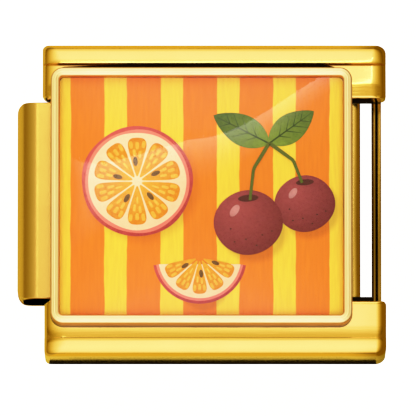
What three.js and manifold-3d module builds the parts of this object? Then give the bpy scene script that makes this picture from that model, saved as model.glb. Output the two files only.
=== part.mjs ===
// A stretch-bracelet charm link of gold-plated steel: a flat body with a rounded rail along each
// long edge, a framed picture under a clear resin dome, and a sprung hook sleeve behind them.
// X runs along the bracelet, Y across it and Z up from the face that touches the wrist. The origin
// is the centre of the link's outline at the height of its back face. Units are millimetres.

import * as THREE from 'three';
import { mergeVertices } from 'three/addons/utils/BufferGeometryUtils.js';
import Module from 'manifold-3d';

const wasm = await Module();
wasm.setup();

// Driving dimensions
const LINK_WIDTH = 9.0; // across the bracelet
const LINK_PITCH = 9.86; // from one link to the next, and the length of the body and of the sleeve
const SLEEVE_REACH = 0.76; // how far the sleeve stands out past the body's left end
const BODY_X = SLEEVE_REACH / 2; // the body's centre
const SLEEVE_X = -SLEEVE_REACH / 2; // the sleeve's centre
const CLEARANCE = 0.02; // between pieces that touch

// Body: plate, rails, side walls, flanges and the four ears
const PLATE_TOP = 2.3;
const PLATE_UNDERSIDE = 2.05;
const RAIL_TOP = 2.42;
const RAIL_WIDTH = 0.5;
const RAIL_ROUNDING = 0.28;
const CREASE_DEPTH = 0.04; // the fine line between rail and plate
const CREASE_WIDTH = 0.06;
const BULGE_HEIGHT = 1.2; // the side wall stands out above this height
const BULGE = 0.08;
const WALL_INSIDE = 4.1; // half the distance between the side walls
const FLANGE_REACH = 3.3; // how near the inturned flanges come to the centre line
const FLANGE_THICKNESS = 0.3;
const BODY_CORNER = 0.33; // corners seen from above
const BODY_END_ROUNDING = 0.32; // ends seen from the side
const EAR_INSIDE = 2.95; // half the distance between opposite ears
const EAR_CORNER = 0.14;
const LEFT_EAR_CORNER = 0.26;
const EAR_DEPTH = 0.8; // height of an ear's overhang
const EAR_STEP = 0.2; // how far the ear's foot stands back under its overhang
const EAR_LENGTH = 0.88;
const LEFT_NOTCH_EDGE = -4.35; // the plate's end between the ears, from the body's centre
const RIGHT_NOTCH_EDGE = 3.6;
const LIP_INSIDE = 2.83; // half the distance between opposite lips under the ears
const LIP_BOTTOM = 2.03;
const LIP_TOP = 2.15;

// Bars that the sleeves hook and pull on
const BAR_X = 4.66; // from the body's centre
const BAR_THICKNESS = 0.26;
const BAR_BOTTOM = 0.45;
const BAR_TOP = 1.45;
const BAR_ROUNDING = 0.08;
const BAR_SEAT = 0.3; // how deep each end sits in its ear
const BAR_FOLD = 0.055; // slot between the bar's two leaves
const BAR_FOLD_X = -0.012;
const BAR_FOLD_DEPTH = 0.25;

// Hook sleeve: a bent strip that forms a flattened tube, open at both sides and slit at its back
const SLEEVE_HALF_WIDTH = 2.82;
const SLEEVE_BOTTOM = 0.05;
const SLEEVE_TOP = 2.0;
const SLEEVE_WALL = 0.2;
const SLEEVE_BENDS = { topLeft: 0.62, bottomLeft: 0.5, right: 0.36 };
const SLEEVE_CORNER = 0.25;
const HOOK_LIP = 0.83; // length of the hook under the neighbour's bar
const HOOK_SLIT = 0.45;
const HOOK_CURL_HEIGHT = 0.36;
const HOOK_CURL_WIDTH = 0.18;

// Corrugated leaf springs inside the sleeve
const SPRING_WIDTH = 1.3;
const SPRING_OFFSET = 1.25; // of each spring's middle from the centre line
const SPRING_THICKNESS = 0.1;
const SPRING_WAVES = 6;
const SPRING_MIDDLE = 1.02;
const SPRING_AMPLITUDE = 0.55;

// Picture: tray with its rim, printed plate and resin dome
const TRAY_X = -0.4; // the tray's centre, from the body's centre
const TRAY_LENGTH = 8.68;
const TRAY_WIDTH = 7.44;
const TRAY_CORNER = 0.36;
const TRAY_FLOOR = 0.28;
const TRAY_TOP = 3.35;
const RIM_WIDTH = 0.23;
const RIM_ROUNDING = 0.1;
const PLATE_THICKNESS = 0.3;
const DOME_EDGE = 3.24;
const DOME_TOP = 3.5;

const goldPlatedSteel = { color: 0xe8c14a, metalness: 1, roughness: 0.14 };
const springSteel = { color: 0xa9a59c, metalness: 1, roughness: 0.32 };
const printedPlate = { color: 0xf4a23a, metalness: 0, roughness: 0.4 };
const clearResin = { color: 0xf6f3ea, metalness: 0, roughness: 0.05, transparent: true, opacity: 0.3 };

// Points of a closed outline through [x, y, radius] corners, each corner rounded by an arc
function roundedOutline(corners, arcSteps = 6) {
  const points = [];
  corners.forEach(([x, y, radius = 0], index) => {
    const corner = new THREE.Vector2(x, y);
    if (radius === 0) {
      points.push(corner);
      return;
    }
    const [previous, next] = [corners.at(index - 1), corners[(index + 1) % corners.length]];
    const back = new THREE.Vector2(previous[0], previous[1]).sub(corner).normalize();
    const ahead = new THREE.Vector2(next[0], next[1]).sub(corner).normalize();
    const halfAngle = Math.acos(THREE.MathUtils.clamp(back.dot(ahead), -1, 1)) / 2;
    const middle = back.clone().add(ahead).normalize();
    const centre = corner.clone().addScaledVector(middle, radius / Math.sin(halfAngle));
    const tangent = radius / Math.tan(halfAngle);
    const start = corner.clone().addScaledVector(back, tangent).sub(centre);
    const end = corner.clone().addScaledVector(ahead, tangent).sub(centre);
    const turn = Math.atan2(start.cross(end), start.dot(end));
    for (let step = 0; step <= arcSteps; step += 1) {
      points.push(start.clone().rotateAround(new THREE.Vector2(), (turn * step) / arcSteps).add(centre));
    }
  });
  return points;
}

// Corners of an upright rectangle, counterclockwise from its lowest left one
function rectangle(left, bottom, right, top, radius = 0) {
  return [
    [left, bottom, radius],
    [right, bottom, radius],
    [right, top, radius],
    [left, top, radius],
  ];
}

function asSolid(geometry) {
  geometry.deleteAttribute('normal');
  geometry.deleteAttribute('uv');
  const merged = mergeVertices(geometry, 1e-5);
  return new wasm.Manifold(
    new wasm.Mesh({
      numProp: 3,
      vertProperties: new Float32Array(merged.attributes.position.array),
      triVerts: new Uint32Array(merged.index.array),
    }),
  );
}

function asGeometry(solid) {
  const mesh = solid.getMesh();
  const geometry = new THREE.BufferGeometry();
  geometry.setAttribute('position', new THREE.BufferAttribute(new Float32Array(mesh.vertProperties), 3));
  geometry.setIndex(new THREE.BufferAttribute(new Uint32Array(mesh.triVerts), 1));
  geometry.computeVertexNormals();
  return geometry;
}

function extrusion(points, length) {
  return new THREE.ExtrudeGeometry(new THREE.Shape(points), { depth: length, bevelEnabled: false });
}

// Solid with an outline seen from above, between two heights
function planSolid(points, bottom, top) {
  return asSolid(extrusion(points, top - bottom).translate(0, 0, bottom));
}

// Solid with a section seen from the front as [x, z] points, between two values of Y
function frontSolid(points, near, far) {
  return asSolid(extrusion(points, far - near).rotateX(Math.PI / 2).translate(0, far, 0));
}

// Solid with a section seen from the end as [y, z] points, between two values of X
function endSolid(points, left, right) {
  const basis = new THREE.Matrix4().makeBasis(
    new THREE.Vector3(0, 1, 0),
    new THREE.Vector3(0, 0, 1),
    new THREE.Vector3(1, 0, 0),
  );
  return asSolid(extrusion(points, right - left).applyMatrix4(basis).translate(left, 0, 0));
}

function box(left, right, near, far, bottom, top) {
  return planSolid(roundedOutline(rectangle(left, near, right, far)), bottom, top);
}

// A form with a rounded rectangular plan: profile is a list of [inset, height] pairs from its
// underside, round its edge, to its top. Corners turn sharper inwards, or rounder by softening.
function framedSolid(length, width, corner, profile, softening = -1) {
  const smallestCorner = 0.04;
  const rings = profile.map(([inset, height]) => {
    const radius = Math.max(corner + inset * softening, smallestCorner);
    const [halfLength, halfWidth] = [length / 2 - inset, width / 2 - inset];
    const outline = rectangle(-halfLength, -halfWidth, halfLength, halfWidth, radius);
    return roundedOutline(outline).map((point) => [point.x, point.y, height]);
  });
  const count = rings[0].length;
  const positions = rings.flat(2);
  const triangles = [];
  for (let ring = 0; ring < rings.length - 1; ring += 1) {
    for (let step = 0; step < count; step += 1) {
      const [a, b] = [ring * count + step, ring * count + ((step + 1) % count)];
      triangles.push(a, b, b + count, a, b + count, a + count);
    }
  }
  const underside = positions.length / 3;
  positions.push(0, 0, profile[0][1], 0, 0, profile.at(-1)[1]);
  const lastRing = (rings.length - 1) * count;
  for (let step = 0; step < count; step += 1) {
    const next = (step + 1) % count;
    triangles.push(underside, next, step, underside + 1, lastRing + step, lastRing + next);
  }
  const geometry = new THREE.BufferGeometry();
  geometry.setAttribute('position', new THREE.Float32BufferAttribute(positions, 3));
  geometry.setIndex(triangles);
  geometry.computeVertexNormals();
  return geometry;
}

function piece(name, geometry, finish, x = 0, y = 0) {
  const mesh = new THREE.Mesh(geometry, new THREE.MeshStandardMaterial(finish));
  mesh.name = name;
  mesh.position.set(x, y, 0);
  return mesh;
}

// Corners of one side of the body's end section, from the flange's tip over the rail to the middle
function bodySideSection() {
  const half = LINK_WIDTH / 2;
  const waist = half - BULGE;
  const crease = half - RAIL_WIDTH;
  return [
    [WALL_INSIDE, PLATE_UNDERSIDE],
    [WALL_INSIDE, FLANGE_THICKNESS, 0.1],
    [FLANGE_REACH, FLANGE_THICKNESS],
    [FLANGE_REACH, 0, 0.08],
    [waist, 0, 0.12],
    [waist, BULGE_HEIGHT - BULGE / 2, 0.02],
    [half, BULGE_HEIGHT + BULGE / 2, 0.02],
    [half, RAIL_TOP, RAIL_ROUNDING],
    [crease + CREASE_WIDTH / 2, RAIL_TOP, 0.1],
    [crease, PLATE_TOP - CREASE_DEPTH],
    [crease - CREASE_WIDTH, PLATE_TOP],
  ];
}

function bodySection() {
  const side = bodySideSection();
  const mirrored = side.map(([y, z, radius]) => [-y, z, radius]).reverse();
  return roundedOutline([...side, ...mirrored]);
}

// The body's outline from above, with a notch between the ears at each end
function bodyOutline() {
  const [endX, side] = [LINK_PITCH / 2, LINK_WIDTH / 2];
  const root = 0.08;
  const upperHalf = [
    [RIGHT_NOTCH_EDGE, EAR_INSIDE, root],
    [endX, EAR_INSIDE, EAR_CORNER],
    [endX, side, BODY_CORNER],
    [-endX, side, BODY_CORNER],
    [-endX, EAR_INSIDE, LEFT_EAR_CORNER],
    [LEFT_NOTCH_EDGE, EAR_INSIDE, root],
  ];
  const lowerHalf = upperHalf.map(([x, y, radius]) => [x, -y, radius]).reverse();
  return roundedOutline([...upperHalf, ...lowerHalf]);
}

// Both ears at one end: an overhang level with the plate, and a foot that stands back under it
function earPair(end) {
  const outside = WALL_INSIDE + 0.1;
  const overhangBottom = PLATE_TOP - EAR_DEPTH;
  const endX = (end * LINK_PITCH) / 2;
  const notchEdge = end > 0 ? RIGHT_NOTCH_EDGE : LEFT_NOTCH_EDGE;
  const footEdge = endX - end * EAR_LENGTH;
  const solids = [];
  for (const side of [-1, 1]) {
    const span = (from, to) => [Math.min(from, to), Math.max(from, to)];
    const overhangY = span(side * EAR_INSIDE, side * outside);
    const footY = span(side * (EAR_INSIDE + EAR_STEP), side * outside);
    solids.push(box(...span(notchEdge, endX), ...overhangY, overhangBottom, PLATE_UNDERSIDE + 0.1));
    solids.push(box(...span(footEdge, endX), ...footY, 0, overhangBottom + 0.1));
  }
  return solids;
}

// Lips under the ears, from the plate's edge to the bar, which narrow the gap to the sleeve
function lipPair(end) {
  const notchEdge = end > 0 ? RIGHT_NOTCH_EDGE : LEFT_NOTCH_EDGE;
  const tip = end > 0 ? BAR_X - BAR_THICKNESS / 2 - 0.02 : -LINK_PITCH / 2 + 0.1;
  const [left, right] = end > 0 ? [notchEdge - 0.05, tip] : [tip, notchEdge + 0.05];
  return [
    box(left, right, LIP_INSIDE, EAR_INSIDE + 0.05, LIP_BOTTOM, LIP_TOP),
    box(left, right, -EAR_INSIDE - 0.05, -LIP_INSIDE, LIP_BOTTOM, LIP_TOP),
  ];
}

// The pocket in both ears of one end that holds a bar
function barPocket(end) {
  const [x, half] = [end * BAR_X, BAR_THICKNESS / 2 + CLEARANCE];
  const reach = EAR_INSIDE + EAR_STEP + BAR_SEAT + CLEARANCE;
  return box(x - half, x + half, -reach, reach, BAR_BOTTOM - CLEARANCE, BAR_TOP + CLEARANCE);
}

function linkBody() {
  const endX = LINK_PITCH / 2;
  const channel = endSolid(bodySection(), -endX, endX);
  const outline = planSolid(bodyOutline(), -0.1, RAIL_TOP + 0.1);
  const endProfile = roundedOutline([
    [-endX, 0, 0.1],
    [endX, 0, 0.1],
    [endX, RAIL_TOP, BODY_END_ROUNDING],
    [-endX, RAIL_TOP, BODY_END_ROUNDING],
  ]);
  const roundedEnds = frontSolid(endProfile, -LINK_WIDTH, LINK_WIDTH);
  let body = channel;
  for (const ear of [...earPair(-1), ...earPair(1)]) body = body.add(ear);
  body = body.intersect(outline).intersect(roundedEnds);
  for (const lip of [...lipPair(-1), ...lipPair(1)]) body = body.add(lip);
  for (const end of [-1, 1]) body = body.subtract(barPocket(end));
  return piece('link_body', asGeometry(body), goldPlatedSteel, BODY_X);
}

// A strip folded lengthwise into two leaves that stand side by side
function crossBar(name, end) {
  const half = BAR_THICKNESS / 2;
  const slotFloor = BAR_TOP - BAR_FOLD_DEPTH;
  const [slotLeft, slotRight] = [BAR_FOLD_X - BAR_FOLD / 2, BAR_FOLD_X + BAR_FOLD / 2];
  const section = roundedOutline([
    [-half, BAR_BOTTOM, BAR_ROUNDING],
    [half, BAR_BOTTOM, BAR_ROUNDING],
    [half, BAR_TOP, BAR_ROUNDING],
    [slotRight, BAR_TOP, 0.02],
    [slotRight, slotFloor],
    [slotLeft, slotFloor],
    [slotLeft, BAR_TOP, 0.04],
    [-half, BAR_TOP, 0.04],
  ], 4);
  const reach = EAR_INSIDE + EAR_STEP + BAR_SEAT;
  const geometry = asGeometry(frontSolid(section, -reach, reach));
  return piece(name, geometry, goldPlatedSteel, BODY_X + end * BAR_X);
}

function hookSleeve() {
  const half = LINK_PITCH / 2;
  const { topLeft, bottomLeft, right } = SLEEVE_BENDS;
  const tubeSection = (inset) => roundedOutline([
    [-half + inset, SLEEVE_BOTTOM + inset, bottomLeft - inset],
    [half - inset, SLEEVE_BOTTOM + inset, right - inset],
    [half - inset, SLEEVE_TOP - inset, right - inset],
    [-half + inset, SLEEVE_TOP - inset, topLeft - inset],
  ], 8);
  const curlRight = -half + HOOK_LIP;
  const curlTop = SLEEVE_BOTTOM + HOOK_CURL_HEIGHT;
  const curl = rectangle(curlRight - HOOK_CURL_WIDTH, SLEEVE_BOTTOM, curlRight, curlTop, 0.07);
  const slit = box(curlRight, curlRight + HOOK_SLIT, -half, half, -1, SLEEVE_BOTTOM + 2 * SLEEVE_WALL);
  const plan = roundedOutline([
    [-half, -SLEEVE_HALF_WIDTH, SLEEVE_CORNER],
    [half, -SLEEVE_HALF_WIDTH, 0.1],
    [half, SLEEVE_HALF_WIDTH, 0.1],
    [-half, SLEEVE_HALF_WIDTH, SLEEVE_CORNER],
  ]);
  const sleeve = frontSolid(tubeSection(0), -SLEEVE_HALF_WIDTH, SLEEVE_HALF_WIDTH)
    .subtract(frontSolid(tubeSection(SLEEVE_WALL), -half, half))
    .subtract(slit)
    .add(frontSolid(roundedOutline(curl), -SLEEVE_HALF_WIDTH, SLEEVE_HALF_WIDTH))
    .intersect(planSolid(plan, -1, SLEEVE_TOP + 1));
  return piece('hook_sleeve', asGeometry(sleeve), goldPlatedSteel, SLEEVE_X);
}

// Corrugated strip between the retaining bar and the sleeve's closed right end
function leafSpring(name, side) {
  const left = BODY_X - BAR_X + BAR_THICKNESS / 2 + 0.03;
  const right = SLEEVE_X + LINK_PITCH / 2 - SLEEVE_WALL - 0.03;
  const steps = SPRING_WAVES * 12;
  const centreLine = [];
  for (let step = 0; step <= steps; step += 1) {
    const t = step / steps;
    const phase = 2 * Math.PI * SPRING_WAVES * t;
    centreLine.push([left + (right - left) * t, SPRING_MIDDLE + SPRING_AMPLITUDE * Math.sin(phase)]);
  }
  const edge = (offset) => centreLine.map(([x, z]) => new THREE.Vector2(x, z + offset));
  const steepest = (2 * Math.PI * SPRING_WAVES * SPRING_AMPLITUDE) / (right - left);
  const halfHeight = (SPRING_THICKNESS / 2) * Math.hypot(1, steepest / 2);
  const section = [...edge(-halfHeight), ...edge(halfHeight).reverse()];
  const near = side * SPRING_OFFSET - SPRING_WIDTH / 2;
  return piece(name, asGeometry(frontSolid(section, near, near + SPRING_WIDTH)), springSteel);
}

function bezelTray() {
  const bottom = PLATE_TOP + CLEARANCE;
  const floor = bottom + TRAY_FLOOR;
  const profile = [[0.04, bottom], [0, bottom + 0.04]];
  const arcSteps = 3;
  for (let step = 0; step <= arcSteps; step += 1) {
    const angle = (Math.PI / 2) * (step / arcSteps);
    profile.push([RIM_ROUNDING * (1 - Math.cos(angle)), TRAY_TOP - RIM_ROUNDING * (1 - Math.sin(angle))]);
  }
  for (let step = 0; step <= arcSteps; step += 1) {
    const angle = (Math.PI / 2) * (1 - step / arcSteps);
    const inset = RIM_WIDTH - RIM_ROUNDING * (1 - Math.cos(angle));
    profile.push([inset, TRAY_TOP - RIM_ROUNDING * (1 - Math.sin(angle))]);
  }
  profile.push([RIM_WIDTH, floor]);
  const geometry = framedSolid(TRAY_LENGTH, TRAY_WIDTH, TRAY_CORNER, profile);
  return piece('bezel_tray', geometry, goldPlatedSteel, BODY_X + TRAY_X);
}

// Size of what lies inside the rim
const WINDOW = {
  length: TRAY_LENGTH - 2 * (RIM_WIDTH + CLEARANCE),
  width: TRAY_WIDTH - 2 * (RIM_WIDTH + CLEARANCE),
  corner: TRAY_CORNER - RIM_WIDTH,
};
const PICTURE_BOTTOM = PLATE_TOP + TRAY_FLOOR + 2 * CLEARANCE;
const PICTURE_TOP = PICTURE_BOTTOM + PLATE_THICKNESS;

function picturePlate() {
  const profile = [[0, PICTURE_BOTTOM], [0, PICTURE_TOP]];
  const geometry = framedSolid(WINDOW.length, WINDOW.width, WINDOW.corner, profile);
  return piece('picture_plate', geometry, printedPlate, BODY_X + TRAY_X);
}

// The dome rises steeply from its edge and flattens towards the middle
function resinDome() {
  const bottom = PICTURE_TOP + CLEARANCE;
  const profile = [[0, bottom], [0, DOME_EDGE]];
  const shoulder = 2.2;
  const steps = 7;
  for (let step = 1; step <= steps; step += 1) {
    const t = step / steps;
    profile.push([shoulder * t * t, DOME_EDGE + (DOME_TOP - DOME_EDGE) * (1 - (1 - t) ** 2)]);
  }
  const geometry = framedSolid(WINDOW.length, WINDOW.width, WINDOW.corner, profile, 0.5);
  return piece('resin_dome', geometry, clearResin, BODY_X + TRAY_X);
}

const body = new THREE.Group();
body.add(linkBody(), crossBar('hinge_bar', 1), crossBar('retaining_bar', -1));
body.add(bezelTray(), picturePlate(), resinDome());

const sleeve = new THREE.Group();
sleeve.add(hookSleeve(), leafSpring('leaf_spring_near', -1), leafSpring('leaf_spring_far', 1));

const group = new THREE.Group();
group.add(body, sleeve);

export default group;
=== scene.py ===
"""Looks of a stretch-bracelet charm link: gold-plated body, tray and hook sleeve, printed picture
under a clear resin dome, and the leaf springs inside. Lengths in this file are millimetres in the
row frame: X along the bracelet, Y across it, Z up from the back face."""
import math

import bmesh
import bpy
import numpy as np
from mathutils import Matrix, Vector


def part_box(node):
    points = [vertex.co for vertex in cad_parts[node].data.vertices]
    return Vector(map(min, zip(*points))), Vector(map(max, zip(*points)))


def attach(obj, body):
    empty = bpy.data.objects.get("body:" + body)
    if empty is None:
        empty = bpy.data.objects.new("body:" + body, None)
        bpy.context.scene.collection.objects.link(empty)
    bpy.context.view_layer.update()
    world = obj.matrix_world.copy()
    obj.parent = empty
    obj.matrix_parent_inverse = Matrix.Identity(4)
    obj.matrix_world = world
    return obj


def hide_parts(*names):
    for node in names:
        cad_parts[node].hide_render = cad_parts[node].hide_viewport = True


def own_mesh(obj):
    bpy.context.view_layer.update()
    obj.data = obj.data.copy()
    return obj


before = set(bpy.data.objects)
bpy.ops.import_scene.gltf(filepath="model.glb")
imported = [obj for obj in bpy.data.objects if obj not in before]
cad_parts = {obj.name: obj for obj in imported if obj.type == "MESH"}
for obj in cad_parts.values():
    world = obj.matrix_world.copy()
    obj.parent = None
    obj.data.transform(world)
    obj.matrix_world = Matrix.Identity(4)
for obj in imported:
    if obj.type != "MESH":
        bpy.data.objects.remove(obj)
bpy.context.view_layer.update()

MM = 0.001


def box_mm(node):
    """Lowest and highest corner of a CAD node in millimetres."""
    low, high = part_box(node)
    return np.array(low) / MM, np.array(high) / MM


BODY_LOW, BODY_HIGH = box_mm("link_body")
SLEEVE_LOW, SLEEVE_HIGH = box_mm("hook_sleeve")
TRAY_LOW, TRAY_HIGH = box_mm("bezel_tray")
WINDOW_LOW, WINDOW_HIGH = box_mm("picture_plate")
DOME_LOW, DOME_HIGH = box_mm("resin_dome")
BAR_LOW, BAR_HIGH = box_mm("hinge_bar")
KEEPER_LOW, KEEPER_HIGH = box_mm("retaining_bar")

# The body: rails along both sides, a plate between them, walls with flanges, and ears at the ends
HALF_WIDTH = BODY_HIGH[1] + 0.03
RAIL_TOP = BODY_HIGH[2]
PLATE_TOP = RAIL_TOP - 0.12
PLATE_UNDERSIDE = PLATE_TOP - 0.25
RAIL_WIDTH = 0.58
CREASE = HALF_WIDTH - RAIL_WIDTH
EAR_INSIDE = SLEEVE_HIGH[1] + 0.13
WALL_INSIDE = 4.1
FLANGE_REACH = 3.3
FLANGE_THICKNESS = 0.3
NOTCH_LEFT = BODY_LOW[0] + 0.58
NOTCH_RIGHT = BODY_HIGH[0] - 1.33
EAR_LENGTH = 0.88
END_DROP = 0.33  # how far plate and rails roll down at the ends
CORNER_STRETCH = 1.2  # an end corner's rounding along the bracelet, over that across it
NEAR_CREASE_SHIFT = 0.05  # the near rail is this much narrower
PLATE_SWELL = 0.06  # the plate's rise beside the tray
OVERHANG_BOTTOM = PLATE_TOP - 0.8
SHEET = 0.2  # thickness of the sleeve's strip
TRAY_CENTRE = (TRAY_LOW[0] + TRAY_HIGH[0]) / 2


# Surfaces


def grid_faces(rows, columns, closed=True):
    """Quads between neighbouring rows of points; closed joins each row's end to its start."""
    row, column = np.meshgrid(np.arange(rows - 1), np.arange(columns - (not closed)), indexing="ij")
    after = (column + 1) % columns
    corners = [row * columns + column, row * columns + after,
               (row + 1) * columns + after, (row + 1) * columns + column]
    return np.stack(corners, -1).reshape(-1, 4).tolist()


def tube(rows):
    """Closed loops of points carried one to the next, with both ends capped."""
    rows = np.asarray(rows, float)
    count, columns = rows.shape[:2]
    caps = [list(range(columns)), list(range((count - 1) * columns, count * columns))]
    return rows.reshape(-1, 3), grid_faces(count, columns) + caps


def joined(*parts):
    """Several point and face lists as one."""
    points, faces, start = [], [], 0
    for part_points, part_faces in parts:
        points.append(part_points)
        faces += [[corner + start for corner in face] for face in part_faces]
        start += len(part_points)
    return np.concatenate(points), faces


def arc(centre, radii, start, end, steps=8):
    """Points on an ellipse's arc from one angle to another, in degrees."""
    turn = np.radians(np.linspace(start, end, steps + 1))
    return np.column_stack([centre[0] + radii[0] * np.cos(turn), centre[1] + radii[1] * np.sin(turn)])


def rounded_path(corners, steps=6):
    """Open line through [x, y, radius] corners, each rounded by an arc that touches both sides."""
    line = [np.array([corners[0][:2]], float)]
    for before, here, after in zip(corners, corners[1:], corners[2:]):
        corner, radius = np.array(here[:2], float), here[2]
        back, ahead = np.array(before[:2]) - corner, np.array(after[:2]) - corner
        back, ahead = back / np.linalg.norm(back), ahead / np.linalg.norm(ahead)
        half = math.acos(np.clip(back @ ahead, -1, 1)) / 2
        centre = corner + (back + ahead) / np.linalg.norm(back + ahead) * radius / math.sin(half)
        first, last = corner + back * radius / math.tan(half), corner + ahead * radius / math.tan(half)
        start = math.degrees(math.atan2(*(first - centre)[::-1]))
        turn = (math.degrees(math.atan2(*(last - centre)[::-1])) - start + 180) % 360 - 180
        line.append(arc(centre, (radius, radius), start, start + turn, steps))
    line.append(np.array([corners[-1][:2]], float))
    return np.concatenate(line)


def normals_of(line, closed=False):
    """Unit vectors square to a line in its plane, to the left of its run."""
    if closed:
        run = np.roll(line, -1, 0) - np.roll(line, 1, 0)
    else:
        run = np.gradient(line, axis=0)
    left = np.column_stack([-run[:, 1], run[:, 0]])
    return left / np.linalg.norm(left, axis=1, keepdims=True)


def strip_section(line, thickness):
    """Outline of a bent strip: its middle line offset to both sides, with eased corners at its tips."""
    half, ease = thickness / 2, thickness / 10
    left = normals_of(line)
    tips = []
    for end, way in ((-1, 1), (0, -1)):
        side, run = left[end] * way, np.array([left[end][1], -left[end][0]]) * way
        turn = np.radians([[30], [60], [90]])
        over, out = half - ease * (1 - np.cos(turn)), ease * np.sin(turn)
        tips.append(np.concatenate([line[end] + over * side + out * run,
                                    (line[end] - over * side + out * run)[::-1]]))
    return np.concatenate([line + left * half, tips[0], (line - left * half)[::-1], tips[1]])


def frame_rings(length, width, corner, profile, steps=8):
    """Rounded rectangles stacked on a profile of [inset, height] pairs."""
    rings = []
    for inset, height in profile:
        radius = max(corner - inset, 0.03)
        half = np.array([length / 2 - inset - radius, width / 2 - inset - radius])
        ring = np.concatenate([
            arc(half * sign, (radius, radius), start, start + 90, steps)
            for sign, start in (((1, 1), 0), ((-1, 1), 90), ((-1, -1), 180), ((1, -1), 270))
        ])
        rings.append(np.column_stack([ring[:, 0] + TRAY_CENTRE, ring[:, 1], np.full(len(ring), height)]))
    return tube(rings)


def piece(name, shape, material, body="link_frame", nodes=(), sharp=38):
    """Adds a closed surface as one object that rides on a body and stands for CAD nodes."""
    points, faces = shape
    mesh = bpy.data.meshes.new(name)
    mesh.from_pydata((np.asarray(points) * MM).tolist(), [], faces)
    work = bmesh.new()
    work.from_mesh(mesh)
    bmesh.ops.remove_doubles(work, verts=work.verts, dist=1e-7)
    bmesh.ops.dissolve_degenerate(work, edges=work.edges, dist=1e-8)
    bmesh.ops.recalc_face_normals(work, faces=work.faces)
    work.to_mesh(mesh)
    work.free()
    mesh.shade_smooth()
    mesh.set_sharp_from_angle(angle=math.radians(sharp))
    mesh.materials.append(material)
    made = bpy.data.objects.new(name, mesh)
    bpy.context.scene.collection.objects.link(made)
    weighted = made.modifiers.new("flat faces stay flat", "WEIGHTED_NORMAL")
    weighted.keep_sharp = True
    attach(made, body)
    if nodes:
        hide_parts(*nodes)
    return made


# Body


# Slope of the plate in degrees, falling outwards, at distances from the middle of the link
FAR_SLOPE = [(2.9, 0), (3.3, 0), (3.42, 5), (3.6, 7), (3.9, 7), (3.91, 25), (3.95, 25)]
NEAR_SLOPE = [(2.9, 9), (3.6, 9), (3.82, 4), (3.92, 1), (4.0, 0)]


def side_section(side):
    """Outer half of one side's section as [y, z] points, from the plate's inner edge over the
    crease and the rail, down the wall and in to the flange's tip, with the direction in degrees
    that each point faces when the ends are rounded. The plate's height falls by the sum of its
    slope's tangents; the rail is a quarter of an ellipse."""
    edge, kerb, rise = 0.07, 0.02, 0.38
    crease = CREASE if side > 0 else CREASE + NEAR_CREASE_SHIFT
    y = np.linspace(EAR_INSIDE + edge, crease, 40)
    slope = np.interp(y, *zip(*(FAR_SLOPE if side > 0 else NEAR_SLOPE)))
    fall = np.concatenate([[0], np.cumsum(np.tan(np.radians(slope[:-1])) * np.diff(y))])
    plate = np.column_stack([y, PLATE_TOP + PLATE_SWELL - fall])
    roll = arc((crease + kerb, RAIL_TOP - rise), (HALF_WIDTH - crease - kerb, rise), 90, 0, 26)
    bulge, waist = 1.08, HALF_WIDTH - 0.01
    wall = [[HALF_WIDTH, bulge + 0.04], [HALF_WIDTH, bulge], [waist, bulge - 0.04], [waist, 0.07]]
    bottom = arc((waist - 0.07, 0.07), (0.07, 0.07), 0, -90, 4)[1:]
    inner_edge = arc((EAR_INSIDE + edge, plate[0, 1] - edge), (edge, edge), 180, 90, 5)[:-1]
    kerb_top = [[crease + kerb * 0.3, RAIL_TOP - 0.03]]
    parts = [(inner_edge, 180, 108), (plate, 90, 90), (kerb_top, 90, 90),
             (roll, 90, 0), (wall, 0, 0), (bottom, -1, -1), ([[FLANGE_REACH, 0]], -1, -1)]
    facing = [np.linspace(first, last, len(points)) for points, first, last in parts]
    return np.concatenate([points for points, _, _ in parts]), np.concatenate(facing)


def inner_section(kind):
    """Inner half of the section, from the flange's tip back to the plate's inner edge: the open
    channel in the middle, the overhang beside each notch, and the solid ear."""
    foot = EAR_INSIDE + 0.2
    ceiling = PLATE_UNDERSIDE if kind == "channel" else OVERHANG_BOTTOM
    if kind == "ear":
        line = [[foot, height] for height in (0, 0.3, 0.6, 0.9, 1.2)] + [[foot, ceiling]]
    else:
        line = [[FLANGE_REACH, 0], [FLANGE_REACH, FLANGE_THICKNESS], [WALL_INSIDE, FLANGE_THICKNESS],
                [WALL_INSIDE, ceiling], [3.6, ceiling], [foot, ceiling]]
    return np.array(line + [[EAR_INSIDE, ceiling]])


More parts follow.
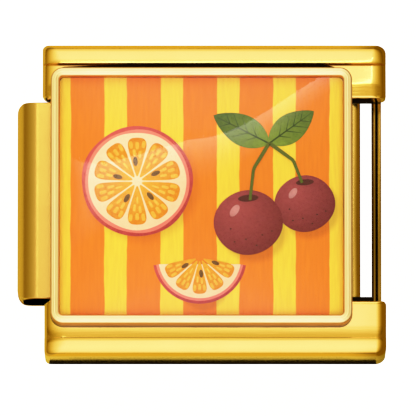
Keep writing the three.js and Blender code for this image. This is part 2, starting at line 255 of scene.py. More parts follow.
def body_side(side):
    """One side of the body: its section carried along X. Towards an end every point moves inwards
    by R(1 - cos t) and back by R(1 - sin t), so that the edges roll over; R is the rounding in the
    direction the point faces."""

    def station(x, kind, t=0.0, end=0, run=0.43, corner=0.25, inner_corner=0.1):
        outer, facing = side_section(side)
        turn = np.radians(np.maximum(facing, 0))
        rounding = np.where(facing > 90, inner_corner, corner)
        across = rounding.copy()
        across[-1] = 0
        down = np.where(facing > 90, 1, np.sin(turn)) * END_DROP
        roll = np.column_stack([np.cos(turn) * across, down])
        inner = inner_section(kind)
        inner[:, 0] += inner_corner * (1 - np.cos(t)) * (inner[:, 0] < FLANGE_REACH)
        reach = np.hypot(np.cos(turn) * rounding * CORNER_STRETCH, np.sin(turn) * run)
        reach = np.concatenate([reach, np.full(len(inner), inner_corner * CORNER_STRETCH)])
        loop = np.concatenate([outer - roll * (1 - np.cos(t)), inner])
        return np.column_stack([x - end * reach * (1 - np.sin(t)), side * loop[:, 0], loop[:, 1]])

    left, right = BODY_LOW[0] - (0.06 if side > 0 else 0), BODY_HIGH[0]
    left_run, right_run = (0.54, 0.43) if side > 0 else (0.68, 0.3)
    turns = np.radians(np.linspace(90, 0, 12))
    rows = [station(left, "ear", t, -1, left_run, 0.15, 0.16) for t in turns]
    rows += [station(left + EAR_LENGTH, kind) for kind in ("ear", "channel")]
    rows += [station(NOTCH_RIGHT, kind) for kind in ("channel", "overhang")]
    rows += [station(right - EAR_LENGTH, kind) for kind in ("overhang", "ear")]
    rows += [station(right, "ear", t, 1, right_run) for t in turns[::-1]]
    return tube(rows)


def slab(low, high):
    """Plain block between two corners, for what other pieces cover."""
    (x0, y0, z0), (x1, y1, z1) = low, high
    ring = [[x0, y0], [x1, y0], [x1, y1], [x0, y1]]
    return tube([[[x, y, z] for x, y in ring] for z in (z0, z1)])


# Bent strips: sleeve, bars and springs


def bent_strip(line, thickness, near, far, edge=0.03, corner=0.0):
    """A bent strip's section carried along Y between two edges, each edge eased by a small radius.
    Where corner is given, the strip's leftmost end is cut round as seen from above."""
    outline = strip_section(line, thickness)
    inwards = normals_of(outline, closed=True)
    run = np.roll(outline, -1, 0) - outline
    if np.sum(outline[:, 0] * run[:, 1] - outline[:, 1] * run[:, 0]) < 0:
        inwards = -inwards
    depth = np.clip(corner - (outline[:, 0] - outline[:, 0].min()), 0, None)
    cut = corner - np.sqrt(corner**2 - depth**2)
    rows = []
    for sign, y, turns in ((1, near, (90, 60, 30, 0)), (-1, far, (0, 30, 60, 90))):
        for t in np.radians(turns):
            moved = outline + inwards * edge * (1 - math.cos(t))
            across = y + sign * (cut + edge * (1 - math.sin(t)))
            rows.append(np.column_stack([moved[:, 0], across, moved[:, 1]]))
    return tube(rows)


def sleeve_line():
    """Middle line of the sleeve's strip, from the curled tip of the hook round the tube to the slit."""
    half = SHEET / 2
    left, right = SLEEVE_LOW[0] + half - 0.03, SLEEVE_HIGH[0] - half + 0.02
    bottom, top = SLEEVE_LOW[2] + half, SLEEVE_HIGH[2] - half
    lip = left + 0.72
    return rounded_path([
        (lip - 0.03, bottom + 0.2, 0), (lip, bottom, 0.09), (left, bottom, 0.4), (left, top, 0.52),
        (right, top, 0.11), (right, bottom, 0.2), (lip + 0.55, bottom, 0),
    ], 10)


def folded_bar(low, high):
    """A strip folded lengthwise into two leaves, open at the top."""
    leaf = 0.105
    left, right = low[0] + leaf / 2, high[0] - leaf / 2 + 0.012
    floor = low[2] + leaf / 2
    top = high[2] - leaf / 2
    bend = (right - left) / 2 - 0.001
    line = rounded_path([(left, top, 0), (left, floor, bend), (right, floor, bend), (right, top, 0)])
    return bent_strip(line, leaf, low[1], high[1], edge=0.01)


def corrugated(low, high, waves=6):
    """A leaf spring's strip: its middle line is a sine wave of six waves."""
    x = np.linspace(low[0], high[0], waves * 20 + 1)
    middle, swing = (low[2] + high[2]) / 2, (high[2] - low[2]) / 2 - 0.08
    line = np.column_stack([x, middle + swing * np.sin(2 * np.pi * waves * np.linspace(0, 1, len(x)))])
    return bent_strip(line[1:-1], 0.09, low[1], high[1], edge=0.02)


# Tray, dome and picture


def tray_profile():
    """Half section of the tray: underside, outer wall, a softly crowned rim and the inner wall."""
    bottom, top = TRAY_LOW[2], TRAY_HIGH[2]
    rim, outer_roll, inner_roll, crown = 0.262, 0.08, 0.09, 0.02
    outer = arc((outer_roll, top - crown - outer_roll), (outer_roll, outer_roll), 180, 90)
    inset = np.linspace(outer_roll, rim - inner_roll, 9)[1:-1]
    middle, half = (outer_roll + rim - inner_roll) / 2, (rim - inner_roll - outer_roll) / 2
    flat = np.column_stack([inset, top - crown * ((inset - middle) / half) ** 2])
    inner = arc((rim - inner_roll, top - crown - inner_roll), (inner_roll, inner_roll), 90, 0)
    return [[0.04, bottom], [0.01, bottom + 0.01], [0, bottom + 0.04], *outer, *flat, *inner,
            [rim, bottom + 0.28]]


def dome_surface(low, high, edge, corner=0.12, count=72):
    """Resin dome on a rounded rectangle: height = edge + rise (1 - u - v + 0.75 u v), where u is
    |x / half length|^2.5 and v is |y / half width|^2.5: a cushion that bends most at its border."""
    centre, half = (low[:2] + high[:2]) / 2, (high[:2] - low[:2]) / 2
    even = np.linspace(-1, 1, count)
    spread = np.sign(even) * (1 - (1 - np.abs(even)) ** 1.4)
    x, y = np.meshgrid(spread * half[0], spread * half[1], indexing="ij")
    a, b = np.abs(x) - (half[0] - corner), np.abs(y) - (half[1] - corner)
    in_corner = (a > 0) & (b > 0)
    pull = np.where(in_corner, np.maximum(a, b) / np.where(in_corner, np.hypot(a, b), 1), 1)
    x_round = np.where(in_corner, np.sign(x) * (half[0] - corner + a * pull), x)
    y_round = np.where(in_corner, np.sign(y) * (half[1] - corner + b * pull), y)
    u, v = np.abs(x / half[0]) ** 2.5, np.abs(y / half[1]) ** 2.5
    rise = (high[2] - edge) * (1 - u - v + 0.75 * u * v)
    top = np.stack([x_round + centre[0], y_round + centre[1], edge + rise], -1)
    border = np.concatenate([top[:-1, 0], top[-1, :-1], top[:0:-1, -1], top[0, :0:-1]])
    skirt = np.array([[*point[:2], low[2]] for point in border])
    underside = [list(range(len(border), 2 * len(border)))]
    return joined(
        (top.reshape(-1, 3), grid_faces(count, count, closed=False)),
        (np.concatenate([border, skirt]), grid_faces(2, len(border)) + underside),
    )


# Finishes


def tone(code):
    """sRGB hex colour as linear RGBA."""
    parts = np.array([int(code[i:i + 2], 16) for i in (1, 3, 5)]) / 255
    linear = np.where(parts <= 0.04045, parts / 12.92, ((parts + 0.055) / 1.055) ** 2.4)
    return (*linear.tolist(), 1.0)


def add(tree, kind, inputs=None, **settings):
    """Adds a node, sets its properties, and fills its inputs with values or other nodes' outputs.
    Sockets go by number where names repeat. Map Range: 0 value, 1 and 2 from, 3 and 4 to. Colour
    Mix: 0 factor, 6 and 7 the colours."""
    made = tree.nodes.new("ShaderNode" + kind)
    for name, value in settings.items():
        setattr(made, name, value)
    for socket, value in (inputs or {}).items():
        if isinstance(value, bpy.types.NodeSocket):
            tree.links.new(value, made.inputs[socket])
        else:
            made.inputs[socket].default_value = value
    return made


def blank(name):
    """A material with only its output node, and that node."""
    made = bpy.data.materials.new(name)
    made.use_nodes = True
    made.node_tree.nodes.clear()
    return made, made.node_tree, made.node_tree.nodes.new("ShaderNodeOutputMaterial")


def in_mm(tree):
    """Object coordinates scaled to millimetres."""
    place = add(tree, "TexCoord")
    scaled = add(tree, "VectorMath", {0: place.outputs["Object"], "Scale": 1 / MM}, operation="SCALE")
    return scaled.outputs[0]


SHADE_LINE_EDGE = 0.015
SHADE_LINE_ENDS = 4.5, 4.8  # a painted shade line fades between these distances from the body's middle


def polished_metal(name, light, deep, roughness, streaks=0.0, steep_shade=None, shade_line=None, metallic=1.0):
    """Metal with a faint cloudy change of colour and gloss over about a millimetre, rubbed lines
    along the bracelet that are streaks millimetres deep, sides that don't look up painted in other
    colours as painted light and shade, running from one to another between two heights, and a painted
    shade line: its axis, middle, half width and colour, which fades where the piece's ends round off."""
    made, tree, out = blank(name)
    clouds = add(tree, "TexNoise", {"Vector": in_mm(tree), "Scale": 0.9, "Detail": 4.0})
    colour = add(tree, "Mix", {0: clouds.outputs["Fac"], 6: tone(light), 7: tone(deep)}, data_type="RGBA")
    gloss = add(tree, "MapRange", {0: clouds.outputs["Fac"], 3: roughness * 0.8, 4: roughness * 1.2})
    metal = add(tree, "BsdfPrincipled", {"Metallic": metallic, "Roughness": gloss.outputs[0]})
    # Painted light and shade by facing: faces that don't look up take other colours, running from one to
    # another between two heights
    if steep_shade:
        upper, lower, foot, top = steep_shade
        height = add(tree, "SeparateXYZ", {0: in_mm(tree)})
        share = add(tree, "MapRange", {0: height.outputs[2], 1: foot, 2: top})
        side = add(tree, "Mix", {0: share.outputs[0], 6: tone(lower), 7: tone(upper)}, data_type="RGBA")
        facing = add(tree, "SeparateXYZ", {0: add(tree, "TexCoord").outputs["Normal"]})
        level = add(tree, "MapRange", {0: facing.outputs[2], 1: 0.45, 2: 0.93},
                    interpolation_type="SMOOTHSTEP")
        colour = add(tree, "Mix", {0: level.outputs[0], 6: side.outputs[2], 7: colour.outputs[2]},
                     data_type="RGBA")
    # A painted shade line: the colour darkens along a line given by axis, middle and half width
    if shade_line:
        axis, line_middle, half, shade_line_colour = shade_line
        apart = add(tree, "SeparateXYZ", {0: in_mm(tree)})
        off = add(tree, "Math", {0: apart.outputs[axis], 1: line_middle}, operation="SUBTRACT")
        off = add(tree, "Math", {0: off.outputs[0]}, operation="ABSOLUTE")
        inside = add(tree, "MapRange", {0: off.outputs[0], 1: half + SHADE_LINE_EDGE, 2: half - SHADE_LINE_EDGE})
        body_middle = (BODY_LOW + BODY_HIGH)[1 - axis] / 2
        ends = add(tree, "Math", {0: apart.outputs[1 - axis], 1: body_middle}, operation="SUBTRACT")
        ends = add(tree, "Math", {0: ends.outputs[0]}, operation="ABSOLUTE")
        kept = add(tree, "MapRange", {0: ends.outputs[0], 1: SHADE_LINE_ENDS[1], 2: SHADE_LINE_ENDS[0]})
        share = add(tree, "Math", {0: inside.outputs[0], 1: kept.outputs[0]}, operation="MULTIPLY")
        colour = add(tree, "Mix", {0: share.outputs[0], 6: colour.outputs[2], 7: tone(shade_line_colour)},
                     data_type="RGBA")
    tree.links.new(colour.outputs[2], metal.inputs["Base Color"])
    if streaks:
        stretched = add(tree, "VectorMath", {0: in_mm(tree), 1: (0.8, 13, 13)}, operation="MULTIPLY")
        lines = add(tree, "TexNoise", {"Vector": stretched.outputs[0], "Scale": 1.0, "Detail": 3.0})
        rubbed = add(tree, "Bump", {"Height": lines.outputs["Fac"], "Strength": 1.0, "Distance": streaks * MM})
        tree.links.new(rubbed.outputs[0], metal.inputs["Normal"])
    tree.links.new(metal.outputs[0], out.inputs[0])
    return made


# Gold-plated steel, wheel-polished, then rubbed along the bracelet by wear: warm, sharp
# reflections with faint lines, drawn about 0.08 mm apart, coarser than real ones, to show
# The darker line along the far rail's crease is painted shade
gold = polished_metal("polished gold plating", "#F3D080", "#F1CB76", 0.12, 0.0015,
                      shade_line=(1, CREASE - 0.02, 0.035, "#BC9438"))
# Gold-plated strip as rolled and bent, hazy: its upward flats darker than its bends and underside, as painted
# shade
rolled_gold = polished_metal("rolled gold strip", "#DBBC73", "#D8B769", 0.24,
                             steep_shade=("#F3D080", "#F1CB76", 0, 2))
# Gold plating blasted to satin: a pale rim top, with walls in painted shade that deepens to amber and brown
# towards the foot
satin_gold = polished_metal("satin gold rim", "#FFF2D0", "#FEEDC6", 0.42, 0,
                            ("#D2913A", "#4A2604", TRAY_LOW[2] + 0.15, TRAY_HIGH[2] - 0.15), metallic=0.75)
# Dim gold for the hinge bar in its gap, darkened as painted shade, with a darker painted shade line at its left
# edge
shaded_bar_gold = polished_metal("hinge bar gold in painted shade", "#9C7D2E", "#8C6E26", 0.2,
                           shade_line=(0, BAR_LOW[0] + 0.01, 0.05, "#3C2410"))
# Nearly black and dull: painted shade, for the strips under the ears and the line round the tray's foot
dark = polished_metal("black for painted shade", "#1A120A", "#120C06", 0.4)
# Cold-rolled spring steel: grey with a soft shine
steel = polished_metal("spring steel", "#B9B4AA", "#A9A399", 0.3)


def painted_shade(tree, place, centres, deepest):
    """Soft round shadows painted beside the fruit: a factor from deepest at a centre up to 1."""
    factor = None
    for x, y, radius in centres:
        apart = add(tree, "VectorMath", {0: place, 1: (x, y, WINDOW_HIGH[2])}, operation="DISTANCE")
        soft = add(tree, "MapRange", {0: apart.outputs["Value"], 1: radius * 0.85, 2: radius * 1.12,
                                      3: deepest, 4: 1.0}, interpolation_type="SMOOTHSTEP").outputs[0]
        if factor is None:
            factor = soft
        else:
            factor = add(tree, "Math", {0: factor, 1: soft}, operation="MINIMUM").outputs[0]
    return factor


def printed_stripes(shadows):
    """Printing ink cured matt, so that it shows flat colour under the resin: broad stripes with
    slightly wavering edges and the streaky cover of a dry brush. The streaks are drawn 0.07 mm
    wide, coarser than a print's dots, so that they show."""
    made, tree, out = blank("striped print")
    place = in_mm(tree)
    waver = add(tree, "TexNoise", {"Vector": place, "Scale": 1.1, "Detail": 3.0})
    apart = add(tree, "SeparateXYZ", {0: place})
    shift = add(tree, "MapRange", {0: waver.outputs["Fac"], 3: 0.02, 4: 0.1})
    moved = add(tree, "Math", {0: apart.outputs[0], 1: shift.outputs[0]}, operation="ADD")
    pitch = 1.62
    wrapped = add(tree, "Math", {0: moved.outputs[0], 1: pitch / 2, 2: -pitch / 2}, operation="WRAP")
    distance = add(tree, "Math", {0: wrapped.outputs[0]}, operation="ABSOLUTE")
    band = add(tree, "MapRange", {0: distance.outputs[0], 1: 0.475, 2: 0.495})
    colour = add(tree, "Mix", {0: band.outputs[0], 6: tone("#F08B22"), 7: tone("#F7DA4E")}, data_type="RGBA")
    stretch = add(tree, "VectorMath", {0: place, 1: (14, 1.2, 1)}, operation="MULTIPLY")
    streak = add(tree, "TexNoise", {"Vector": stretch.outputs[0], "Scale": 1.0, "Detail": 5.0})
    cover = add(tree, "MapRange", {0: streak.outputs["Fac"], 1: 0.3, 2: 0.7, 3: 0.93, 4: 1.05})
    shade = painted_shade(tree, place, shadows, 0.72)
    depth = add(tree, "Math", {0: cover.outputs[0], 1: shade}, operation="MULTIPLY")
    shaded = add(tree, "VectorMath", {0: colour.outputs[2], "Scale": depth.outputs[0]}, operation="SCALE")
    print_coat = add(tree, "BsdfPrincipled", {"Base Color": shaded.outputs[0], "Roughness": 0.6})
    tree.links.new(print_coat.outputs[0], out.inputs[0])
    return made


def paint(name, light, deep, centre=(0, 0), reach=1.0, grain=0.25, scale=9.0):
    """Matt printing ink of one colour that deepens away from a light spot, broken up by brush
    grain of 1 / scale mm, about 0.1 mm, coarser than a print's dots so that it shows."""
    made, tree, out = blank(name)
    place = in_mm(tree)
    apart = add(tree, "VectorMath", {0: place, 1: (*centre, WINDOW_HIGH[2])}, operation="DISTANCE")
    noise = add(tree, "TexNoise", {"Vector": place, "Scale": scale, "Detail": 6.0, "Roughness": 0.7})
    speck = add(tree, "MapRange", {0: noise.outputs["Fac"], 1: 0.25, 2: 0.75, 3: -grain, 4: grain})
    far = add(tree, "Math", {0: apart.outputs["Value"], 1: 1 / reach, 2: speck.outputs[0]},
              operation="MULTIPLY_ADD", use_clamp=True)
    colour = add(tree, "Mix", {0: far.outputs[0], 6: tone(light), 7: tone(deep)}, data_type="RGBA")
    print_coat = add(tree, "BsdfPrincipled", {"Base Color": colour.outputs[2], "Roughness": 0.6})
    tree.links.new(print_coat.outputs[0], out.inputs[0])
    return made


def clear_resin():
    """Doming epoxy, poured and cured clear and glossy, so that it mirrors the lamps faintly. Its
    refractive index starts from epoxy's 1.5 and is matched to the photo at 1.42."""
    made, tree, out = blank("clear epoxy resin")
    clear = add(tree, "BsdfTransparent", {0: (1, 1, 1, 1)})
    gloss = add(tree, "BsdfGlossy", {0: (1, 1, 1, 1), "Roughness": 0.03})
    fresnel = add(tree, "Fresnel", {"IOR": 1.42})
    mixed = add(tree, "MixShader", {0: fresnel.outputs[0], 1: clear.outputs[0], 2: gloss.outputs[0]})
    tree.links.new(mixed.outputs[0], out.inputs[0])
    return made


# The object

middle = slab((NOTCH_LEFT, -EAR_INSIDE, PLATE_UNDERSIDE), (NOTCH_RIGHT, EAR_INSIDE, PLATE_TOP))
piece("body", joined(body_side(1), body_side(-1), middle), gold,
      nodes=["link_body"])
# Lips under the ears' inner edges, black as painted shade beside the sleeve
left_end, right_end = (BODY_LOW[0] + 0.17, NOTCH_LEFT + 0.1), (NOTCH_RIGHT - 0.1, BAR_LOW[0] - 0.02)
lips = [
    slab((left, low, PLATE_UNDERSIDE - 0.02), (right, high, PLATE_UNDERSIDE + 0.1))
    for (left, right), low, high in ((left_end, -2.95, -2.81), (left_end, 2.88, 2.97),
                                     (right_end, -2.95, -2.81), (right_end, 2.83, 2.97))
]
piece("ear_lips", joined(*lips), dark)
# A black line round the tray's foot, painted shade, which shows on the far side
left, right, near = TRAY_LOW[0] - 0.01, TRAY_HIGH[0] + 0.01, TRAY_LOW[1] + 0.02
tray_shade_path = rounded_path([(0, near, 0), (left, near, 0.36), (left, 3.73, 0.36), (-4.0, 3.87, 0.1), (-3.0, 3.91, 0.5),
                     (-2.2, 3.94, 0.5), (3.5, 3.94, 0.1), (3.8, 3.87, 0.1), (right, 3.6, 0.36),
                     (right, near, 0.36), (0.01, near, 0)])
piece("tray_shade_line", tube([np.column_stack([tray_shade_path, np.full(len(tray_shade_path), z)]) for z in (2.2, 2.34)]), dark)
piece("hinge_bar_leaves", folded_bar(BAR_LOW, BAR_HIGH), shaded_bar_gold, nodes=["hinge_bar"])
piece("retaining_bar_leaves", folded_bar(KEEPER_LOW, KEEPER_HIGH), gold,
      nodes=["retaining_bar"])
piece("sleeve", bent_strip(sleeve_line(), SHEET, SLEEVE_LOW[1], SLEEVE_HIGH[1] + 0.06, corner=0.25),
      rolled_gold, "sliding_sleeve", ["hook_sleeve"])
for name in ("leaf_spring_near", "leaf_spring_far"):
    low, high = box_mm(name)
    spring = piece(name + "_strip", corrugated(low, high), steel, "spring_pair", [name])
    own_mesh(spring)
piece("tray", frame_rings(TRAY_HIGH[0] - TRAY_LOW[0], TRAY_HIGH[1] - TRAY_LOW[1], 0.36, tray_profile()),
      satin_gold, nodes=["bezel_tray"])
piece("striped_plate",
      frame_rings(WINDOW_HIGH[0] - WINDOW_LOW[0] - 0.02, WINDOW_HIGH[1] - WINDOW_LOW[1] - 0.02, 0.13,
                  [[0, WINDOW_LOW[2] + 0.02], [0, WINDOW_HIGH[2]]]),
      printed_stripes([(-1.73, 0.3, 1.6), (1.5, -0.92, 0.98), (3.1, -0.36, 0.86), (0.05, -2.6, 0.7)]),
      nodes=["picture_plate"])
piece("dome", dome_surface(np.array([*DOME_LOW[:2], WINDOW_LOW[2] - 0.01]), DOME_HIGH, 3.24), clear_resin(),
      nodes=["resin_dome"])


# The printed picture: flat shapes laid one over another under the resin

LAYER = 0.01


def oval(x, y, across, along, turn=0.0, steps=64):
    """Ellipse with two half axes, turned anticlockwise by some degrees."""
    t = np.linspace(0, 2 * np.pi, steps, endpoint=False)
    c, s = math.cos(math.radians(turn)), math.sin(math.radians(turn))
    u, v = across * np.cos(t), along * np.sin(t)
    return np.column_stack([x + c * u - s * v, y + s * u + c * v])


def wobbled(outline, size, waves, phase):
    """The outline with a hand-drawn unevenness: its distance from the middle varies in gentle waves."""
    middle = outline.mean(0)
    t = np.linspace(0, 2 * np.pi, len(outline), endpoint=False)
    swell = 1 + size * (np.sin(waves * t + phase) + 0.6 * np.sin((waves + 2) * t + 2.3 * phase))
    return middle + (outline - middle) * swell[:, None]


def segment(x, y, near, far, middle, spread):
    """One segment of citrus flesh: a rounded box in polar coordinates about the slice's middle."""
    t = np.linspace(0, 2 * np.pi, 40, endpoint=False)
    u = np.sign(np.cos(t)) * np.abs(np.cos(t)) ** 0.55
    v = np.sign(np.sin(t)) * np.abs(np.sin(t)) ** 0.55
    radius = (near + far) / 2 + v * (far - near) / 2
    angle = np.radians(middle + u * spread / 2)
    return np.column_stack([x + radius * np.cos(angle), y + radius * np.sin(angle)])


def leaf(x, y, length, width, turn):
    """Leaf outline from its stalk: half width follows sin(pi s)^0.8, leaning towards the stalk."""
    s = np.concatenate([np.linspace(0, 1, 24), np.linspace(1, 0, 24)[1:-1]])
    side = np.concatenate([np.ones(24), -np.ones(22)])
    v = side * width / 2 * np.sin(np.pi * s**0.85) ** 0.8
    return placed(np.column_stack([s * length, v]), x, y, turn)


def placed(points, x, y, turn):
    """Points turned by some degrees and moved."""
    c, s = math.cos(math.radians(turn)), math.sin(math.radians(turn))
    return points @ np.array([[c, s], [-s, c]]) + (x, y)


def stroke(points, start, end):
    """A brush stroke's outline along points, its width running from start to end."""
    points = np.array(points, float)
    dense = np.column_stack([np.interp(np.linspace(0, len(points) - 1, 20), range(len(points)), points[:, axis])
                             for axis in (0, 1)])
    half = np.linspace(start, end, len(dense))[:, None] / 2
    left = normals_of(dense)
    return np.concatenate([dense + left * half, (dense - left * half)[::-1]])


def printed(name, outlines, layer, material):
    """Prints flat shapes on one layer, each a thin closed slab, as one piece."""
    low = WINDOW_HIGH[2] + (layer - 1) * LAYER
    slabs = [tube([np.column_stack([line + (TRAY_CENTRE, 0), np.full(len(line), z)])
                   for z in (low, low + LAYER)]) for line in outlines]
    piece("print_" + name, joined(*slabs), material, sharp=30)


def painted(fruit, part, outlines, layer, *colours):
    """Prints one part of a fruit in a paint of its own."""
    printed(f"{fruit}_{part}", outlines, layer, paint(f"{fruit} {part}", *colours))


def citrus_slice(name, x, y, radius, count=10, first=0.0, part=360.0):
    """A cut citrus slice: rind, pith, segments, pulp flecks and pips. part below 360 gives a wedge."""
    def round_shape(share, phase):
        if part == 360:
            return wobbled(oval(x, y, radius * share, radius * share, steps=120), 0.006, 5, phase)
        t = np.radians(np.linspace(first, first + part, 60))
        edge = np.column_stack([np.cos(t), np.sin(t)]) * radius * share
        return edge + (x, y)

    step = part / count
    middles = first + step * (np.arange(count) + 0.5)
    centre = (x + TRAY_CENTRE, y)
    spot = (x + TRAY_CENTRE - radius * 0.3, y + radius * 0.4)
    painted(name, "rind", [round_shape(1, 0.4)], 1, "#DD6A6E", "#A83A48", spot, radius * 1.6)
    painted(name, "blush", [round_shape(0.94, 1.7)], 2, "#F29B8E", "#E57F7C", spot, radius * 2)
    painted(name, "pith", [round_shape(0.885, 2.9)], 3, "#FBEBD2", "#F3D3B4", spot, radius * 2)
    flesh = [segment(x, y, radius * 0.09, radius * 0.79, m, step * 0.86) for m in middles]
    painted(name, "flesh", flesh, 4, "#F0B733", "#D98A1B", centre, radius * 0.95, 0.5, 14)
    places = ((0.28, 0.02), (0.42, -0.16), (0.45, 0.16), (0.58, 0.0), (0.6, 0.27), (0.61, -0.28))
    flecks = [segment(x, y, radius * r, radius * (r + 0.13), m + turn * step, step * 0.16)
              for m in middles for r, turn in places]
    painted(name, "pulp", flecks, 5, "#F8D66A", "#EDB942", centre, radius * 0.8, 0.4)
    pips = [placed(oval(radius * 0.36, 0, radius * 0.085, radius * 0.042), x, y, m + 5)
            for m in middles[::2]]
    painted(name, "pips", pips, 6, "#8A6B2E", "#5E4318", centre, radius * 0.5)


def cherry(name, x, y, radius, layer):
    """A dark cherry with a stalk hollow, a soft highlight and a fine freckle."""
    spot = (x + TRAY_CENTRE - radius * 0.35, y + radius * 0.4)
    body = wobbled(oval(x, y, radius, radius * 0.96, steps=120), 0.012, 2, 0.9)
    painted(name, "skin", [body], layer, "#A24F5C", "#74202F", spot, radius * 1.5, 0.22, 12)
    shine = [oval(x - radius * 0.4, y + radius * 0.35, radius * 0.2, radius * 0.11, 55)]
    painted(name, "shine", shine, layer + 1, "#C99AA2", "#A9707A", spot, radius * 0.4)
    angle = np.radians([200, 235, 262, 290, 318, 340])
    reach = np.array([0.55, 0.7, 0.5, 0.72, 0.55, 0.74]) * radius
    freckles = [oval(x + r * math.cos(a), y + r * math.sin(a), 0.025, 0.018, steps=12)
                for a, r in zip(angle, reach)]
    painted(name, "freckles", freckles, layer + 1, "#4A1420", "#3A0E18")
    hollow = [oval(x, y + radius * 0.72, radius * 0.3, radius * 0.1, 5)]
    painted(name, "hollow", hollow, layer + 1, "#4F1722", "#5A1C28", spot, radius)


def leafy_sprig(x, y, leaves):
    """Leaves that grow from one point, with midribs and side veins drawn in a deeper green."""
    light, vein = paint("leaf green", "#7C9A3A", "#4F6E26", (x + TRAY_CENTRE, y), 1.6, 0.35, 10), []
    for length, width, turn in leaves:
        vein.append(placed(stroke([(0.02, 0), (length * 0.94, 0)], 0.05, 0.012), x, y, turn))
        for share in (0.22, 0.38, 0.54, 0.7):
            for side in (-1, 1):
                reach = width * 0.36 * math.sin(math.pi * share**0.85)
                line = [(share * length, 0), (share * length + reach * 1.1, side * reach)]
                vein.append(placed(stroke(line, 0.026, 0.008), x, y, turn))
    printed("leaves", [leaf(x, y, *shape) for shape in leaves], 2, light)
    printed("leaf_veins", vein, 3, paint("vein green", "#3F5A1E", "#34501A"))


citrus_slice("slice", -1.85, 0.45, 1.6)
citrus_slice("wedge", -0.05, -1.75, 1.35, count=5, first=190, part=160)
printed("stalks", [stroke([(1.4, -0.1), (1.5, 0.8), (1.95, 1.55)], 0.08, 0.11),
                   stroke([(2.9, 0.4), (2.65, 1.05), (1.97, 1.55)], 0.08, 0.11)], 6,
        paint("stalk green", "#7A8A3A", "#5C6E2A"))
leafy_sprig(1.95, 1.55, [(1.8, 0.9, 153), (1.6, 0.84, 36)])
cherry("near_cherry", 1.35, -0.75, 0.98, 4)
cherry("far_cherry", 2.98, -0.2, 0.86, 2)


# Stage: pale floor, soft light and camera


def stage_plane(name, shape, material, place=(0, 0, 0), unseen_by=()):
    """A level surface that isn't part of the object, from a size or a grid of points; unseen_by
    names kinds of ray that pass it."""
    if len(shape) == 2 and np.ndim(shape) == 1:
        x, y = np.array(shape) / 2
        shape = np.array([[[-x, -y, 0], [x, -y, 0]], [[-x, y, 0], [x, y, 0]]])
    mesh = bpy.data.meshes.new(name)
    mesh.from_pydata((shape.reshape(-1, 3) * MM).tolist(), [], grid_faces(*shape.shape[:2], closed=False))
    mesh.materials.append(material)
    made = bpy.data.objects.new(name, mesh)
    bpy.context.scene.collection.objects.link(made)
    made.location = Vector(place) * MM
    for kind in unseen_by:
        setattr(made, "visible_" + kind, False)
    return made


LEVELS = (0, 0.3, 0.57, 0.8, 1.05, 1.3, 1.5, 2.2)
GREEN_SHARE = (0.5, 0.6, 0.77, 0.87, 0.89, 0.88, 0.92, 1)
BLUE_SHARE = (0, 0, 0.12, 0.26, 0.5, 0.65, 1, 1)
BRIGHTEST = 4.5


def light_by(tree, position, low, high, stops, tinted=True):
    """Colour ramp over a value that runs from low to high. A level is white light where it is
    bright and turns amber as it dims, the way that light between gilt walls does. A third number
    in a stop gives it the tint of a dimmer level."""
    share = add(tree, "MapRange", {0: position, 1: low, 2: high})
    ramp = add(tree, "ValToRGB", {0: share.outputs[0]})
    elements = ramp.color_ramp.elements
    elements.remove(elements[-1])
    for index, (place, level, *deeper) in enumerate(stops):
        element = elements.new((place - low) / (high - low)) if index else elements[0]
        as_dim_as = level * (deeper[0] if deeper else 1)
        shares = (1, np.interp(as_dim_as, LEVELS, GREEN_SHARE), np.interp(as_dim_as, LEVELS, BLUE_SHARE))
        element.position = (place - low) / (high - low)
        element.color = (*[level / BRIGHTEST * (part if tinted else 1) for part in shares], 1)
    return ramp.outputs[0]


def glow(name, stops, axis):
    """Light whose level follows [position in mm, level] stops along one axis of the plane."""
    made, tree, out = blank(name)
    position = add(tree, "SeparateXYZ", {0: in_mm(tree)}).outputs[axis]
    level = light_by(tree, position, stops[0][0], stops[-1][0], stops)
    light = add(tree, "Emission", {0: level, 1: BRIGHTEST})
    tree.links.new(light.outputs[0], out.inputs[0])
    return made


pale, tree, out = blank("pale floor")
paper = add(tree, "BsdfPrincipled", {"Base Color": tone("#8C8C8A"), "Roughness": 0.9,
                                     "Emission Color": (1, 1, 1, 1), "Emission Strength": 1.4})
below = add(tree, "NewGeometry").outputs["Backfacing"]
clear = add(tree, "BsdfTransparent")
one_sided = add(tree, "MixShader", {0: below, 1: paper.outputs[0], 2: clear.outputs[0]})
tree.links.new(one_sided.outputs[0], out.inputs[0])
stage_plane("floor", (400, 400), pale, (0, 0, -2.2), unseen_by=["glossy"])
surround = glow("surround as the metal sees it",
                [(-60, 0.67), (-5.4, 0.67), (-5.1, 0.7, 0.7), (-4.7, 0.82, 0.7), (4.4, 0.82, 0.7),
                 (5.6, 0.28), (60, 0.28)], axis=0)
stage_plane("surround", (400, 400), surround, (0, 0, -0.04), unseen_by=["camera", "diffuse"])
# The dark contact of link and floor: a louvred card, black from straight above, open at a slant
shade, tree, out = blank("contact shade as the metal sees it")
slant = add(tree, "LayerWeight", {"Blend": 0.5})
passed = add(tree, "MapRange", {0: slant.outputs["Facing"], 1: 0.12, 2: 0.25})
black = add(tree, "Emission", {0: (0.01, 0.005, 0, 1), 1: 1.0})
clear = add(tree, "BsdfTransparent")
seen = add(tree, "MixShader", {0: passed.outputs[0], 1: black.outputs[0], 2: clear.outputs[0]})
tree.links.new(seen.outputs[0], out.inputs[0])
stage_plane("contact_shade", (9.5, 9.88), shade, (0.3, 0.23, -0.03), unseen_by=["camera", "diffuse"])

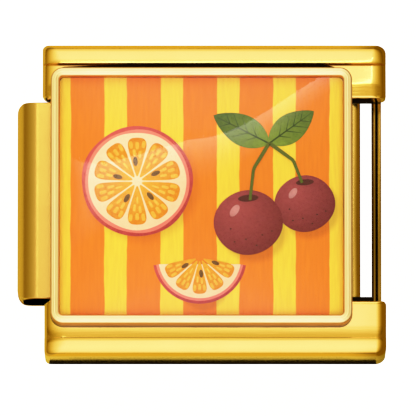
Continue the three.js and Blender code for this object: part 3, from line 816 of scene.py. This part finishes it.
# A half-ring lamp above, brightest at its inner edge, that the dome mirrors as its glare
RING_INSIDE, RING_OUTSIDE = 131, 160
turn = np.linspace(np.pi, 2 * np.pi, 97)
half_ring = np.array([[radius * np.cos(turn), radius * np.sin(turn), 0 * turn]
                      for radius in (RING_INSIDE, RING_OUTSIDE)])
ring, tree, out = blank("ring lamp")
radius = add(tree, "VectorMath", {0: in_mm(tree)}, operation="LENGTH").outputs["Value"]
level = light_by(tree, radius, RING_INSIDE, RING_OUTSIDE,
                [(RING_INSIDE, 4.4), (140, 2.6), (150, 1.0), (RING_OUTSIDE, 0)], False)
sideways = add(tree, "SeparateXYZ", {0: in_mm(tree)})
fade = add(tree, "MapRange", {0: sideways.outputs[0], 1: -12, 2: 14, 3: 0, 4: BRIGHTEST},
           interpolation_type="SMOOTHSTEP")
light = add(tree, "Emission", {0: level, 1: fade.outputs[0]})
open_frame = add(tree, "BsdfTransparent")
lit = add(tree, "AddShader", {0: light.outputs[0], 1: open_frame.outputs[0]})
tree.links.new(lit.outputs[0], out.inputs[0])
stage_plane("ring_lamp", half_ring.transpose(0, 2, 1), ring, (-82, 182, 300), unseen_by=["camera"])

world = bpy.data.worlds.new("studio")
bpy.context.scene.world = world
world.use_nodes = True
tree = world.node_tree
tree.nodes.clear()
direction = add(tree, "TexCoord")
apart = add(tree, "SeparateXYZ", {0: direction.outputs["Generated"]})
angles = [add(tree, "Math", {0: apart.outputs[axis], 1: apart.outputs[2]}, operation="ARCTAN2").outputs[0]
          for axis in (0, 1)]
quarter = math.pi / 2
# Light levels by the direction's angle from straight up, in degrees
across = [(-90, 1.25), (-74, 1.5), (-40, 1.6), (-9, 1.5), (-4, 1.25), (2, 0.9), (7.5, 0.78), (11, 0.85),
          (17, 1.4), (25, 1.55), (62, 1.5), (75, 1.25), (90, 0.85)]
along = [(-90, 0.24), (-77, 0.26), (-64, 0.37), (-50, 0.52), (-30, 0.76), (-20, 0.87), (0, 1), (20, 0.8),
         (30, 0.62), (52, 0.38), (72, 0.22), (90, 0.18)]
levels = [light_by(tree, angle, -quarter, quarter,
                  [(math.radians(place), level) for place, level in stops], False)
          for angle, stops in zip(angles, (along, across))]
both = add(tree, "Math", {0: levels[0], 1: levels[1]}, operation="MULTIPLY")
tint = light_by(tree, both.outputs[0], 0, LEVELS[-1] / BRIGHTEST**2,
               [(level / BRIGHTEST**2, level) for level in LEVELS])
sky = add(tree, "Background", {0: tint, 1: BRIGHTEST})
tree.links.new(sky.outputs[0], tree.nodes.new("ShaderNodeOutputWorld").inputs[0])

# A long lens from the near side; FRAME is the width that the picture shows
LENS, SENSOR, FRAME = 1000, 36, 12.02
camera_data = bpy.data.cameras.new("camera")
camera_data.lens, camera_data.sensor_width = LENS, SENSOR
camera_data.clip_start, camera_data.clip_end = 0.01, 2.0
camera = bpy.data.objects.new("camera", camera_data)
bpy.context.scene.collection.objects.link(camera)
target = Vector((0.17, -0.17, 1.75)) * MM
elevation = math.radians(82.5)
back = Vector((0, -math.cos(elevation), math.sin(elevation)))
camera.location = target + back * (FRAME * MM * LENS / SENSOR)
camera.rotation_mode = "QUATERNION"
camera.rotation_quaternion = (-back).to_track_quat("-Z", "Y")
bpy.context.scene.camera = camera

# A fill lamp for the print, which metal doesn't mirror
fill = bpy.data.objects.new("fill_lamp", bpy.data.lights.new("fill lamp", "SUN"))
fill.data.energy, fill.data.angle = 1.2, math.radians(40)
fill.rotation_euler = (math.radians(12), 0, 0)
fill.visible_glossy = False
bpy.context.scene.collection.objects.link(fill)

# Film response: a soft shoulder for highlights and a gentle toe for shadows
view = bpy.context.scene.view_settings
view.view_transform = "Standard"
view.use_curve_mapping = True
view.curve_mapping.white_level = (2, 2, 2)
response = view.curve_mapping.curves[3].points
exposures = [(0, 0), (0.1, 0.07), (0.25, 0.215), (0.5, 0.49), (0.75, 0.76), (1, 0.9), (1.4, 0.985), (2, 1)]
while len(response) < len(exposures):
    response.new(0.5, 0.5)
for point, (light, shown) in zip(response, exposures):
    point.location = (light / 2, shown)
view.curve_mapping.update()
